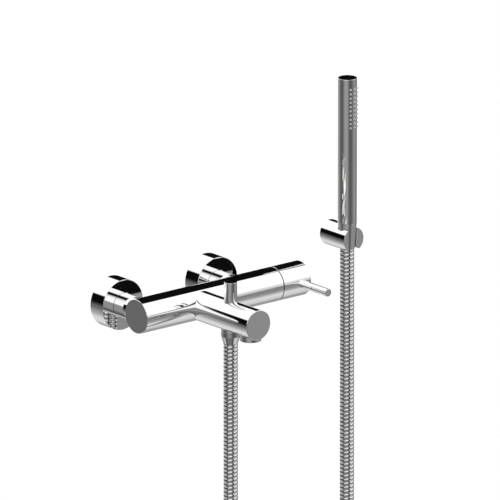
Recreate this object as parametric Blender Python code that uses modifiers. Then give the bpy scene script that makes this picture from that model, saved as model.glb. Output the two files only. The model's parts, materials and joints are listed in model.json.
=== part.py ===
"""Wall mounted bath mixer with a stick hand shower, its wall holder and its metal hose.

Metres, +Z up. The origin lies on the wall, midway between the two inlets and level with the barrel.
The wall is the plane Y = 0, the mixer stands out from it towards -Y, and +X is to the right of a
person who faces the wall.
"""

import math

import bmesh
import bpy
from mathutils import Matrix, Quaternion, Vector

# Directions in which a turned piece can stand.
LEFT, RIGHT = Vector((-1, 0, 0)), Vector((1, 0, 0))
OUT = Vector((0, -1, 0))
UP, DOWN = Vector((0, 0, 1)), Vector((0, 0, -1))

# Segments round a turned piece: large outer ones, small outer ones, inner ones, pins and screws.
LARGE, SMALL, INNER, FINE = 36, 24, 16, 12
GAP = 0.0003
# Shapes that cut or join are rolled a little, so that their corners miss the part's own edges.
TOOL_ROLL = math.radians(3.1)

# Barrel, with its handle at the right-hand end.
BARREL_Y = -0.0733
BARREL_R = 0.0215
BARREL_LEFT = -0.0945
GROOVE_X = 0.1230
GROOVE_WIDTH = 0.0012
HANDLE_RIGHT = 0.1658
BARREL_RIGHT = GROOVE_X - GROOVE_WIDTH / 2
HANDLE_LEFT = GROOVE_X + GROOVE_WIDTH / 2
EDGE = 0.0004
END_EDGE = 0.0008
BARREL_BORE_R = 0.0170
CARTRIDGE_BORE_R = 0.0185
WEB_LEFT, WEB_RIGHT = 0.0885, 0.0935
END_CAP_R = 0.0202

# Spout and the fittings on it.
SPOUT_R = 0.0190
SPOUT_Z = -0.0015
SPOUT_END = 0.1932
SPOUT_BORE_R = 0.0162
SPOUT_CAP_R = 0.0172
SPOUT_CAP_DEPTH = 0.0022
DIVERTER_Y = -0.1400
KNOB_R = 0.0080
KNOB_TOP = 0.0420
KNOB_BOTTOM = 0.0157
AERATOR_Y = -0.1780
AERATOR_BOSS_R = 0.0132
AERATOR_BOTTOM = -0.0238
HOSE_BOSS_R = 0.0118
HOSE_BOSS_BOTTOM = -0.0215

# Wall connections, with the heights of their parts above the wall.
INLET_PITCH = 0.150
TAIL_OFFSET_Z = -0.0075
ESCUTCHEON_R = 0.0318
ESCUTCHEON_DEPTH = 0.0240
SHEET = 0.0015
UNION_R = 0.01525
UNION_CLEARANCE = 0.00035
BOSS_START = 0.0400
NIPPLE_END = 0.0326
INLET_BORE_R = 0.0075

# Cartridge, from its base at the web to the handle. The stem tilts about the pivot.
PIVOT_X = 0.1130
STEM_R = 0.0035
MAX_LIFT = math.radians(16)
PORTS = ((0.0075, 0.0065), (0.0075, -0.0065), (-0.0080, 0.0))
TUBE_R, TUBE_BORE_R = 0.0045, 0.0035

# Lever pin in the handle.
LEVER_X = 0.1508
LEVER_R = 0.0050
LEVER_TIP = 0.1457

# Wall holder and hand shower.
HOLDER_X, HOLDER_Z = 0.2747, 0.0215
HOLDER_R = 0.01575
HOLDER_LENGTH = 0.0463
SHOWER_Y = -0.0336
SLOT_WIDTH = 0.0176
CONE_TOP, CONE_BOTTOM = 0.0415, 0.0080
CONE_TOP_R, CONE_BOTTOM_R = 0.0117, 0.0095
SHOWER_R = 0.0117
SHOWER_TOP = 0.2268
SHOWER_TURN = math.radians(10)
NOZZLE_ROWS = 10
NOZZLE_PITCH = 0.00545
NOZZLE_TOP = 0.2140
NOZZLE_ANGLES = tuple(math.radians(a) for a in (-30, 0, 30))
NOZZLE_HOLE_R = 0.0016
NOZZLE_BASE_R = 0.00135
NOZZLE_TIP_R = 0.0010
STRIP_HALF_ANGLE = math.radians(40)
STRIP_MARGIN = 0.0040
LINER_HALF_ANGLE = math.radians(34)

# Shower hose: half of its hang as (distance along the span, height), the other half mirrored.
HOSE_R = 0.0083
HOSE_START = -0.0363
HOSE_FINISH = 0.0077
HOSE_POINTS = 56
HOSE_HANG = (
    (0.000, -0.075), (0.000, -0.130), (0.000, -0.190), (0.000, -0.250), (0.000, -0.310),
    (0.001, -0.370), (0.003, -0.430), (0.007, -0.492), (0.018, -0.554), (0.038, -0.610),
    (0.068, -0.658), (0.106, -0.689),
)
HOSE_LOWEST = -0.7005

PARTS = None
CUTTERS = None
MATERIALS = {}


def clear_scene():
    for item in list(bpy.data.objects):
        bpy.data.objects.remove(item, do_unlink=True)


def new_collection(name):
    collection = bpy.data.collections.new(name)
    bpy.context.scene.collection.children.link(collection)
    return collection


def make_materials():
    """Colour, metallic and roughness of each finish."""
    finishes = {
        "chrome": ((0.80, 0.80, 0.81), 1.0, 0.04),
        "brass": ((0.72, 0.54, 0.25), 1.0, 0.32),
        "steel": ((0.56, 0.57, 0.58), 1.0, 0.30),
        "rubber": ((0.03, 0.03, 0.03), 0.0, 0.70),
        "silicone": ((0.55, 0.56, 0.57), 0.0, 0.45),
        "plastic": ((0.78, 0.78, 0.76), 0.0, 0.40),
        "grey_plastic": ((0.35, 0.36, 0.37), 0.0, 0.45),
        "ceramic": ((0.88, 0.87, 0.84), 0.0, 0.25),
    }
    for name, (colour, metallic, roughness) in finishes.items():
        material = bpy.data.materials.new(name)
        material.use_nodes = True
        shader = material.node_tree.nodes["Principled BSDF"]
        shader.inputs["Base Color"].default_value = (*colour, 1.0)
        shader.inputs["Metallic"].default_value = metallic
        shader.inputs["Roughness"].default_value = roughness
        MATERIALS[name] = material


# ---------------------------------------------------------------- modelling helpers


def add_part(name, mesh, finish):
    """A named part with its material, smooth over round faces and sharp at its edges."""
    part = bpy.data.objects.new(name, mesh)
    PARTS.objects.link(part)
    mesh.materials.append(MATERIALS[finish])
    mesh.shade_smooth()
    mesh.set_sharp_from_angle(angle=math.radians(35))
    return part


def add_cutter(name, mesh):
    cutter = bpy.data.objects.new(name, mesh)
    CUTTERS.objects.link(cutter)
    cutter.hide_render = True
    cutter.display_type = "WIRE"
    return cutter


def stand(item, place, towards, roll=0.0):
    """Puts an object at a place with its local +Z towards a direction, rolled about that axis."""
    item.location = place
    item.rotation_euler = (towards.to_track_quat("Z", "Y") @ Quaternion((0, 0, 1), roll)).to_euler()
    return item


def outline_mesh(name, outline):
    """A profile of (radius, height) pairs. It closes on itself unless both ends are on the axis."""
    last = len(outline) - 1
    edges = [(i, i + 1) for i in range(last)]
    if outline[0][0] > 0:
        edges.append((last, 0))
    mesh = bpy.data.meshes.new(name)
    mesh.from_pydata([(radius, 0.0, height) for radius, height in outline], edges, [])
    return mesh


def spin(item, steps):
    screw = item.modifiers.new("turn", "SCREW")
    screw.steps = screw.render_steps = steps
    screw.use_merge_vertices = True
    screw.merge_threshold = 0.00001
    return item


def turned(name, outline, place, towards, finish, steps=INNER):
    """A turned part. The outline runs down its outer side and back up its inner side."""
    part = add_part(name, outline_mesh(name, outline), finish)
    return spin(stand(part, place, towards), steps)


def turned_tool(name, outline, place, towards, steps=INNER):
    """A turned shape that is joined to or cut from a part."""
    tool = stand(add_cutter(name, outline_mesh(name, outline)), place, towards, TOOL_ROLL)
    return spin(tool, steps)


def rod_outline(radius, low, high, edge=0.0):
    """Outline of a solid rod between two heights, with a chamfer at its high end."""
    top = [(0, high), (radius - edge, high), (radius, high - edge)] if edge else [(0, high), (radius, high)]
    return top + [(radius, low), (0, low)]


def ring_outline(outer, inner, low, high):
    return [(inner, high), (outer, high), (outer, low), (inner, low)]


def rod_tool(name, radius, low, high, place, towards, steps=INNER):
    return turned_tool(name, rod_outline(radius, low, high), place, towards, steps)


def box_tool(name, size, centre, turn_z=0.0):
    mesh = bpy.data.meshes.new(name)
    shape = bmesh.new()
    bmesh.ops.create_cube(shape, size=1.0, matrix=Matrix.Diagonal((*size, 1.0)))
    shape.to_mesh(mesh)
    shape.free()
    cutter = add_cutter(name, mesh)
    cutter.location = centre
    cutter.rotation_euler.z = turn_z
    return cutter


def combine(part, operation, tools):
    """Joins or cuts a part with all its tools in one step."""
    group = bpy.data.collections.new(f"{part.name}_{operation.lower()}")
    CUTTERS.children.link(group)
    for tool in tools:
        group.objects.link(tool)
        if tool.name in CUTTERS.objects:
            CUTTERS.objects.unlink(tool)
    boolean = part.modifiers.new(group.name, "BOOLEAN")
    boolean.operation = operation
    boolean.solver = "EXACT"
    boolean.operand_type = "COLLECTION"
    boolean.collection = group


def cut(part, *tools):
    combine(part, "DIFFERENCE", tools)


def join(part, *tools):
    combine(part, "UNION", tools)


def tube_curve(name, points, radius, resolution=2):
    """A round bar along a row of points, with closed ends."""
    curve = bpy.data.curves.new(name, "CURVE")
    curve.dimensions = "3D"
    spline = curve.splines.new("POLY")
    spline.points.add(len(points) - 1)
    for spot, point in zip(spline.points, points):
        spot.co = (*point, 1.0)
    curve.bevel_depth = radius
    curve.bevel_resolution = resolution
    curve.use_fill_caps = True
    return curve


def mesh_from_curve(curve):
    """The closed mesh of a curve, for pieces that are cut or that cut others."""
    source = bpy.data.objects.new(curve.name, curve)
    CUTTERS.objects.link(source)
    bpy.context.view_layer.update()
    evaluated = source.evaluated_get(bpy.context.evaluated_depsgraph_get())
    mesh = bpy.data.meshes.new_from_object(evaluated)
    shape = bmesh.new()
    shape.from_mesh(mesh)
    bmesh.ops.remove_doubles(shape, verts=shape.verts, dist=0.000001)
    bmesh.ops.recalc_face_normals(shape, faces=shape.faces)
    shape.to_mesh(mesh)
    shape.free()
    bpy.data.objects.remove(source, do_unlink=True)
    return mesh


def tube_mesh(name, points, radius, resolution=2):
    return mesh_from_curve(tube_curve(name, points, radius, resolution))


def sector_mesh(name, outer, inner, middle, half_angle, low, high, steps=12):
    """An upright piece of pipe wall that spans an angle on both sides of its middle."""
    curve = bpy.data.curves.new(name, "CURVE")
    curve.dimensions = "2D"
    curve.fill_mode = "BOTH"
    curve.extrude = (high - low) / 2
    angles = [middle + half_angle * (2 * step / steps - 1) for step in range(steps + 1)]
    corners = [(outer, angle) for angle in angles] + [(inner, angle) for angle in reversed(angles)]
    spline = curve.splines.new("POLY")
    spline.points.add(len(corners) - 1)
    for spot, (radius, angle) in zip(spline.points, corners):
        spot.co = (radius * math.cos(angle), radius * math.sin(angle), 0, 1)
    spline.use_cyclic_u = True
    mesh = mesh_from_curve(curve)
    mesh.transform(Matrix.Translation((0, 0, (high + low) / 2)))
    return mesh


def add_joint(name, place, *parts, parent=None):
    """An empty on a joint's axis that carries parts, which keep their places."""
    joint = bpy.data.objects.new(name, None)
    joint.empty_display_size = 0.02
    PARTS.objects.link(joint)
    joint.location = place
    if parent:
        joint.parent = parent
        joint.location -= parent.location
    for part in parts:
        part.parent = joint
        part.location = part.location - Vector(place)
    return joint


def smooth_route(points, count):
    """Evenly spaced points on a smooth curve through a row of points."""
    fine = []
    ends = [2 * points[0] - points[1], *points, 2 * points[-1] - points[-2]]
    for before, start, finish, after in zip(ends, ends[1:], ends[2:], ends[3:]):
        for step in range(20):
            t = step / 20
            fine.append(0.5 * (2 * start + (finish - before) * t
                               + (2 * before - 5 * start + 4 * finish - after) * t ** 2
                               + (3 * start - before - 3 * finish + after) * t ** 3))
    fine.append(points[-1])
    travelled = [0.0]
    for start, finish in zip(fine, fine[1:]):
        travelled.append(travelled[-1] + (finish - start).length)
    route, at = [], 0
    for number in range(count):
        wanted = travelled[-1] * number / (count - 1)
        while at < len(fine) - 2 and travelled[at + 1] < wanted:
            at += 1
        share = (wanted - travelled[at]) / (travelled[at + 1] - travelled[at])
        route.append(fine[at].lerp(fine[at + 1], share))
    return route


# ---------------------------------------------------------------- wall connections


def make_wall_connection(side, x):
    """Eccentric union, its nut, gasket, check valve and escutcheon, with heights above the wall."""
    place = (x, 0, 0)
    hole_r, inner_r = UNION_R + UNION_CLEARANCE, ESCUTCHEON_R - SHEET
    shell = [(hole_r, ESCUTCHEON_DEPTH), (ESCUTCHEON_R - EDGE, ESCUTCHEON_DEPTH),
             (ESCUTCHEON_R, ESCUTCHEON_DEPTH - EDGE), (ESCUTCHEON_R, 0.0), (inner_r, 0.0),
             (inner_r, ESCUTCHEON_DEPTH - SHEET), (hole_r, ESCUTCHEON_DEPTH - SHEET)]
    turned(f"escutcheon_{side}", shell, place, OUT, "chrome", LARGE)

    union = turned(f"s_union_{side}", rod_outline(0.0131, 0.0060, 0.0300), place, OUT, "brass", SMALL)
    tail_place = (x, 0, TAIL_OFFSET_Z)
    join(union, rod_tool(f"tail_{side}", 0.0103, -0.0220, 0.0120, tail_place, OUT, SMALL))
    cut(union,
        rod_tool(f"front_bore_{side}", 0.0085, 0.0085, 0.0310, place, OUT),
        rod_tool(f"tail_bore_{side}", 0.0065, -0.0230, 0.0105, tail_place, OUT))

    nut_top = BOSS_START - GAP
    nut = [(0.0101, nut_top), (UNION_R - GAP, nut_top), (UNION_R, nut_top - GAP), (UNION_R, 0.0130),
           (0.0134, 0.0130), (0.0134, 0.0349), (0.0101, 0.0349)]
    turned(f"union_nut_{side}", nut, place, OUT, "chrome", SMALL)
    turned(f"union_gasket_{side}", ring_outline(0.0123, 0.0078, 0.0303, 0.0323), place, OUT, "rubber")
    valve = [(0.0035, 0.0460), (0.0062, 0.0460), (0.0072, 0.0445), (0.0072, 0.0342), (0.0035, 0.0342)]
    turned(f"check_valve_{side}", valve, place, OUT, "grey_plastic")


# ---------------------------------------------------------------- body


def make_body_casting():
    """Barrel, spout and bosses in one casting, bored for the water and for every fitting."""
    barrel_axis = (0, BARREL_Y, 0)
    barrel = [(0, BARREL_RIGHT), (BARREL_R - EDGE, BARREL_RIGHT), (BARREL_R, BARREL_RIGHT - EDGE),
              (BARREL_R, BARREL_LEFT + END_EDGE), (BARREL_R - END_EDGE, BARREL_LEFT), (0, BARREL_LEFT)]
    body = turned("body_casting", barrel, barrel_axis, RIGHT, "chrome", LARGE)

    spout_axis = (0, 0, SPOUT_Z)
    spout = rod_outline(SPOUT_R, -BARREL_Y, SPOUT_END, END_EDGE)
    inlet = [(0, -BARREL_Y), (UNION_R, -BARREL_Y), (UNION_R, BOSS_START), (0.0098, BOSS_START),
             (0.0098, NIPPLE_END + 0.0020), (0.0125, NIPPLE_END + 0.0020), (0.0125, NIPPLE_END),
             (0, NIPPLE_END)]
    hose_axis, aerator_axis = (0, DIVERTER_Y, 0), (0, AERATOR_Y, 0)
    joined = [turned_tool("spout", spout, spout_axis, OUT, LARGE),
              rod_tool("hose_boss", HOSE_BOSS_R, HOSE_BOSS_BOTTOM, SPOUT_Z, hose_axis, UP, SMALL),
              rod_tool("aerator_boss", AERATOR_BOSS_R, AERATOR_BOTTOM, SPOUT_Z, aerator_axis, UP, SMALL)]
    bores = [rod_tool("barrel_bore", BARREL_BORE_R, BARREL_LEFT - 0.01, WEB_LEFT, barrel_axis, RIGHT, SMALL),
             rod_tool("cap_seat", END_CAP_R + GAP, BARREL_LEFT - 0.02, BARREL_LEFT + 0.003, barrel_axis,
                      RIGHT, LARGE),
             rod_tool("cartridge_bore", CARTRIDGE_BORE_R, WEB_RIGHT, BARREL_RIGHT + 0.01, barrel_axis, RIGHT,
                      SMALL),
             rod_tool("spout_bore", SPOUT_BORE_R, 0.0790, SPOUT_END - 0.0005, spout_axis, OUT, SMALL),
             rod_tool("spout_cap_seat", SPOUT_CAP_R + GAP, SPOUT_END - SPOUT_CAP_DEPTH - GAP, 0.2000,
                      spout_axis, OUT, LARGE),
             rod_tool("knob_hole", KNOB_R + GAP, 0.0100, 0.0250, hose_axis, UP, SMALL),
             rod_tool("hose_hole", 0.0082, -0.0300, -0.0100, hose_axis, UP),
             rod_tool("aerator_seat", 0.0121, -0.0300, -0.0155, aerator_axis, UP, SMALL),
             rod_tool("aerator_hole", 0.0090, -0.0200, -0.0080, aerator_axis, UP)]
    for side, x in (("left", -INLET_PITCH / 2), ("right", INLET_PITCH / 2)):
        joined.append(turned_tool(f"inlet_{side}", inlet, (x, 0, 0), OUT, SMALL))
        bores.append(rod_tool(f"inlet_bore_{side}", INLET_BORE_R, 0.0300, 0.0620, (x, 0, 0), OUT))
    for number, (port_y, port_z) in enumerate(PORTS):
        place = (0, BARREL_Y + port_y, port_z)
        bores.append(rod_tool(f"web_port_{number}", TUBE_R + GAP, 0.0860, 0.0950, place, RIGHT))
    join(body, *joined)
    cut(body, *bores)


def make_end_caps():
    """Flush discs that close the barrel's left end and the end of the spout."""
    left = -BARREL_LEFT
    plug = [(0, left), (END_CAP_R, left), (END_CAP_R, left - 0.0027), (0.0167, left - 0.0027),
            (0.0167, left - 0.0110), (0.0140, left - 0.0110), (0.0140, left - 0.0045), (0, left - 0.0045)]
    turned("left_end_cap", plug, (0, BARREL_Y, 0), LEFT, "chrome", LARGE)
    disc = rod_outline(SPOUT_CAP_R, SPOUT_END - SPOUT_CAP_DEPTH, SPOUT_END)
    turned("spout_end_cap", disc, (0, 0, SPOUT_Z), OUT, "chrome", LARGE)


def make_water_tubes():
    """Bent tubes that carry hot and cold water from the inlets to the cartridge's base."""
    routes = {
        "hot_water_tube": [(-0.0750, 0.0200, 0.0), (-0.0750, 0.0140, 0.0015), (-0.0735, 0.0105, 0.0040),
                           (-0.0690, 0.0080, 0.0060), (-0.0620, 0.0075, 0.0065), (0.0905, 0.0075, 0.0065)],
        "cold_water_tube": [(0.0750, 0.0200, 0.0), (0.0750, 0.0140, -0.0015), (0.0765, 0.0105, -0.0040),
                            (0.0805, 0.0080, -0.0060), (0.0850, 0.0075, -0.0065),
                            (0.0905, 0.0075, -0.0065)],
    }
    for name, route in routes.items():
        points = [Vector((x, BARREL_Y + y, z)) for x, y, z in route]
        past_start = points[0] + (points[0] - points[1]).normalized() * 0.002
        past_end = points[-1] + (points[-1] - points[-2]).normalized() * 0.002
        tube = add_part(name, tube_mesh(name, points, TUBE_R), "brass")
        bore = tube_mesh(f"{name}_bore", [past_start, *points[1:-1], past_end], TUBE_BORE_R)
        cut(tube, add_cutter(f"{name}_bore", bore))


# ---------------------------------------------------------------- cartridge and handle


def make_fixed_cartridge():
    """The parts of the cartridge that stay still in the barrel."""
    axis = (0, BARREL_Y, 0)
    ports = []
    for number, (port_y, port_z) in enumerate(PORTS):
        place = (0, BARREL_Y + port_y, port_z)
        ports.append(rod_tool(f"cartridge_port_{number}", 0.0032, 0.0930, 0.1011, place, RIGHT, FINE))
    seal = turned("cartridge_seal", rod_outline(0.0182, 0.0938, 0.0957), axis, RIGHT, "rubber", SMALL)
    cup = [(0, 0.0985), (0.0143, 0.0985), (0.0143, 0.1165), (0.0182, 0.1165), (0.0182, 0.0960), (0, 0.0960)]
    body = turned("cartridge_body", cup, axis, RIGHT, "plastic", SMALL)
    disc = turned("ceramic_disc_fixed", rod_outline(0.0140, 0.0988, 0.1010), axis, RIGHT, "ceramic", SMALL)
    for part in (seal, body, disc):
        cut(part, *ports)
    turned("cartridge_nut", ring_outline(0.0182, 0.0125, 0.1168, 0.1218), axis, RIGHT, "brass", SMALL)
    dome = sphere_outline(0.0190, 0.0175, 0.0102, 0.0148)
    turned("handle_dome", dome, (PIVOT_X, BARREL_Y, 0), RIGHT, "chrome", SMALL)


def sphere_outline(outer, inner, low, high):
    """Outline of a zone of a thick spherical shell, between two heights above its centre."""
    heights = [high + (low - high) * step / 3 for step in range(4)]
    outside = [(math.sqrt(outer ** 2 - height ** 2), height) for height in heights]
    inside = [(math.sqrt(inner ** 2 - height ** 2), height) for height in reversed(heights)]
    return outside + inside


def make_turning_cartridge():
    """The carrier that turns for temperature, with the pin on which the stem tilts."""
    axis = (0, BARREL_Y, 0)
    carrier = turned("cartridge_carrier", rod_outline(0.0140, 0.1043, 0.1162), axis, RIGHT, "plastic", SMALL)
    cut(carrier,
        box_tool("stem_slot", (0.0200, 0.0180, 0.0078), (0.1100, BARREL_Y, 0)),
        rod_tool("pin_hole", 0.0018, -0.0200, 0.0200, (PIVOT_X, BARREL_Y, 0), UP, FINE))
    pin = turned("stem_pivot_pin", rod_outline(0.0015, -0.0130, 0.0130), (PIVOT_X, BARREL_Y, 0), UP, "steel",
                 FINE)
    return carrier, pin


def make_flow_disc():
    """The ceramic disc that the stem's tail slides to and fro."""
    disc = turned("ceramic_disc_moving", rod_outline(0.0110, 0.1013, 0.1040), (0, BARREL_Y, 0), RIGHT,
                  "ceramic", SMALL)
    cut(disc, rod_tool("tail_pocket", 0.0026, 0.1022, 0.1060, (0, BARREL_Y, 0), RIGHT, FINE))
    return disc


def make_handle():
    """Stem, handle sleeve, lever pin and grub screw, which tilt together for flow."""
    axis = (0, BARREL_Y, 0)
    stem_outline = [(0, 0.1570), (STEM_R, 0.1570), (STEM_R, 0.1075), (0.0016, 0.1075), (0.0016, 0.1025),
                    (0, 0.1025)]
    stem = turned("cartridge_stem", stem_outline, axis, RIGHT, "steel")
    cut(stem, rod_tool("stem_pin_hole", 0.0018, -0.0100, 0.0100, (PIVOT_X, BARREL_Y, 0), UP, FINE))

    shell = [(0, HANDLE_RIGHT), (BARREL_R - EDGE, HANDLE_RIGHT), (BARREL_R, HANDLE_RIGHT - EDGE),
             (BARREL_R, HANDLE_LEFT + EDGE), (BARREL_R - EDGE, HANDLE_LEFT), (0.0193, HANDLE_LEFT),
             (0.0193, 0.1440), (0, 0.1440)]
    sleeve = turned("handle_sleeve", shell, axis, RIGHT, "chrome", LARGE)
    relief_length = 0.020
    along = Vector((math.cos(MAX_LIFT), -math.sin(MAX_LIFT), 0))
    hinge_line = Vector((HANDLE_LEFT, BARREL_Y, 0))
    lever_place = (LEVER_X, BARREL_Y, 0)
    cut(sleeve,
        box_tool("tilt_relief", (relief_length, 0.080, 0.060), hinge_line - along * relief_length / 2,
                 -MAX_LIFT),
        rod_tool("stem_socket", STEM_R + GAP, 0.1400, 0.1580, axis, RIGHT),
        rod_tool("lever_seat", LEVER_R + GAP, 0.0200, 0.0250, lever_place, OUT),
        rod_tool("lever_hole", 0.0033, 0.0085, 0.0210, lever_place, OUT),
        rod_tool("grub_hole", 0.0023, 0.0, 0.0250, lever_place, DOWN, FINE))

    reach = LEVER_TIP + BARREL_Y
    pin = [(0, reach), (LEVER_R - 0.0005, reach), (LEVER_R, reach - 0.0005), (LEVER_R, 0.0203),
           (0.0030, 0.0203), (0.0030, 0.0090), (0, 0.0090)]
    lever = turned("handle_lever", pin, lever_place, OUT, "chrome", SMALL)
    grub = turned("handle_grub_screw", rod_outline(0.0020, 0.0042, 0.0110), lever_place, DOWN, "steel", FINE)
    cut(grub, hex_tool("handle_grub_socket", 0.0011, 0.0090, 0.0120, lever_place, DOWN))
    return stem, sleeve, lever, grub


def hex_tool(name, radius, low, high, place, towards):
    return rod_tool(name, radius, low, high, place, towards, 6)


# ---------------------------------------------------------------- spout fittings


def spring_points(radius, low, high, turns, per_turn):
    """A helix with one flat turn at each end."""
    points = []
    total = turns * per_turn
    for step in range(total + 1):
        angle = 2 * math.pi * step / per_turn
        share = min(max((step - per_turn * 0.7) / (total - 1.4 * per_turn), 0.0), 1.0)
        height = low + (high - low) * share
        points.append(Vector((radius * math.cos(angle), radius * math.sin(angle), height)))
    return points


def make_diverter():
    """Insert, bonnet and spring seat in the spout, and the knob with its stem and seal."""
    place = (0, DIVERTER_Y, SPOUT_Z)
    insert = turned("diverter_insert", rod_outline(0.0159, 0.1300, 0.1520), (0, 0, SPOUT_Z), OUT, "brass",
                    SMALL)
    cut(insert,
        rod_tool("diverter_bore", 0.0062, -0.0200, 0.0200, place, UP),
        rod_tool("diverter_inlet", 0.0045, 0.1250, 0.1400, (0, 0, SPOUT_Z), OUT),
        rod_tool("diverter_outlet", 0.0034, 0.1420, 0.1560, (0, 0, SPOUT_Z + 0.0065), OUT))
    turned("diverter_bonnet", ring_outline(0.0059, 0.0026, 0.0110, 0.0166), place, UP, "brass")

    stem = [(0, 0.0350), (0.0022, 0.0350), (0.0022, -0.0085), (0.0058, -0.0085), (0.0058, -0.0115),
            (0, -0.0115)]
    stem = turned("diverter_stem", stem, place, UP, "steel")
    seal = turned("diverter_seal", ring_outline(0.0058, 0.0025, -0.0082, -0.0070), place, UP, "rubber")
    top, bottom = KNOB_TOP - SPOUT_Z, KNOB_BOTTOM - SPOUT_Z
    knob = [(0, top), (KNOB_R - EDGE, top), (KNOB_R, top - EDGE), (KNOB_R, bottom), (0.0025, bottom),
            (0.0025, 0.0355), (0, 0.0355)]
    knob = turned("diverter_knob", knob, place, UP, "chrome", SMALL)
    coil = spring_points(0.0041, -0.0062, 0.0102, 6, 9)
    spring = add_part("diverter_spring", tube_mesh("diverter_spring", coil, 0.0004, 1), "steel")
    spring.location = place
    return stem, seal, knob, spring


def make_aerator():
    place = (0, AERATOR_Y, 0)
    housing = [(0.0098, -0.0170), (0.0118, -0.0170), (0.0118, -0.0236), (0.0088, -0.0236),
               (0.0088, -0.0228), (0.0098, -0.0228)]
    turned("aerator_housing", housing, place, UP, "chrome", SMALL)
    insert = turned("aerator_insert", rod_outline(0.0095, -0.0225, -0.0172), place, UP, "grey_plastic")
    holes = []
    for number in range(6):
        angle = 2 * math.pi * number / 6
        hole_place = (0.0055 * math.cos(angle), AERATOR_Y + 0.0055 * math.sin(angle), 0)
        holes.append(rod_tool(f"aerator_hole_{number}", 0.0014, -0.0240, -0.0160, hole_place, UP, 8))
    cut(insert, *holes)
    turned("aerator_seal", ring_outline(0.0118, 0.0095, -0.0167, -0.0157), place, UP, "rubber")


def make_hose_outlet():
    place = (0, DIVERTER_Y, 0)
    nipple = [(0.0055, -0.0184), (0.0079, -0.0184), (0.0079, -0.0218), (0.0099, -0.0218),
              (0.0099, -0.0265), (0.0055, -0.0265)]
    turned("hose_outlet_nipple", nipple, place, UP, "brass")
    nut = [(0.0103, -0.0218), (HOSE_BOSS_R, -0.0218), (HOSE_BOSS_R, -0.0268), (0.0090, -0.0360),
           (0.0065, -0.0360), (0.0065, -0.0303), (0.0093, -0.0303), (0.0103, -0.0268)]
    turned("hose_nut", nut, place, UP, "chrome", SMALL)
    turned("hose_washer_faucet", ring_outline(0.0092, 0.0050, -0.0280, -0.0268), place, UP, "rubber")
    ferrule = [(0.0040, -0.0283), (0.0088, -0.0283), (0.0088, -0.0300), (0.0062, -0.0300),
               (0.0062, -0.0360), (0.0040, -0.0360)]
    turned("hose_ferrule_faucet", ferrule, place, UP, "brass")


# ---------------------------------------------------------------- hose


def hose_route():
    """Down from the spout, round a wide hang and up to the hand shower's cone."""
    start = Vector((0, DIVERTER_Y, 0))
    span = Vector((HOLDER_X, SHOWER_Y, 0)) - start
    width = span.length
    hang = [*HOSE_HANG, (width / 2, HOSE_LOWEST), *((width - a, z) for a, z in reversed(HOSE_HANG))]
    hang = [(0.0, HOSE_START), *hang, (width, -0.030), (width, HOSE_FINISH)]
    points = [start + span * (along / width) + Vector((0, 0, height)) for along, height in hang]
    return smooth_route(points, HOSE_POINTS)


def make_hose():
    hose = bpy.data.objects.new("shower_hose", tube_curve("shower_hose", hose_route(), HOSE_R))
    hose.data.materials.append(MATERIALS["chrome"])
    PARTS.objects.link(hose)


# ---------------------------------------------------------------- hand shower


def make_hose_end():
    """The hose's swivel ferrule, inside the cone nut."""
    ferrule = [(0.0040, 0.0282), (0.0088, 0.0282), (0.0088, 0.0265), (0.0060, 0.0265),
               (0.0060, 0.0083), (0.0040, 0.0083)]
    return turned("hose_ferrule_shower", ferrule, (HOLDER_X, SHOWER_Y, 0), UP, "brass")


def shower_angle(angle):
    """World angle about +Z of a direction given from the middle of the spray face."""
    return math.radians(-90) + SHOWER_TURN + angle


def nozzle_rods(name, base_radius, tip_radius, inner, outer):
    """A rod for every nozzle, from one distance off the hand shower's axis to another."""
    shape = bmesh.new()
    lay = Matrix.Rotation(math.radians(90), 4, "Y")
    for row in range(NOZZLE_ROWS):
        for angle in NOZZLE_ANGLES:
            turn = Matrix.Rotation(shower_angle(angle), 4, "Z")
            out = Matrix.Translation(((inner + outer) / 2, 0, NOZZLE_TOP - row * NOZZLE_PITCH))
            bmesh.ops.create_cone(shape, cap_ends=True, segments=8, radius1=base_radius, radius2=tip_radius,
                                  depth=outer - inner, matrix=turn @ out @ lay)
    mesh = bpy.data.meshes.new(name)
    shape.to_mesh(mesh)
    shape.free()
    rods = add_cutter(name, mesh)
    rods.location = (HOLDER_X, SHOWER_Y, 0)
    return rods


def spray_sector(name, outer, inner, half_angle, margin):
    """A piece of pipe wall behind the nozzles, a margin longer than their rows at each end."""
    lowest = NOZZLE_TOP - NOZZLE_PITCH * (NOZZLE_ROWS - 1)
    return sector_mesh(name, outer, inner, shower_angle(0), half_angle, lowest - margin, NOZZLE_TOP + margin)


def make_nozzle_strip():
    """A curved silicone plate inside the tube, with a nozzle through each of the tube's holes."""
    plate = spray_sector("nozzle_strip", 0.0101, 0.0095, STRIP_HALF_ANGLE, STRIP_MARGIN)
    strip = add_part("nozzle_strip", plate, "silicone")
    strip.location = (HOLDER_X, SHOWER_Y, 0)
    join(strip, nozzle_rods("nozzles", NOZZLE_BASE_R, NOZZLE_TIP_R, 0.0098, 0.0133))
    return strip


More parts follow.
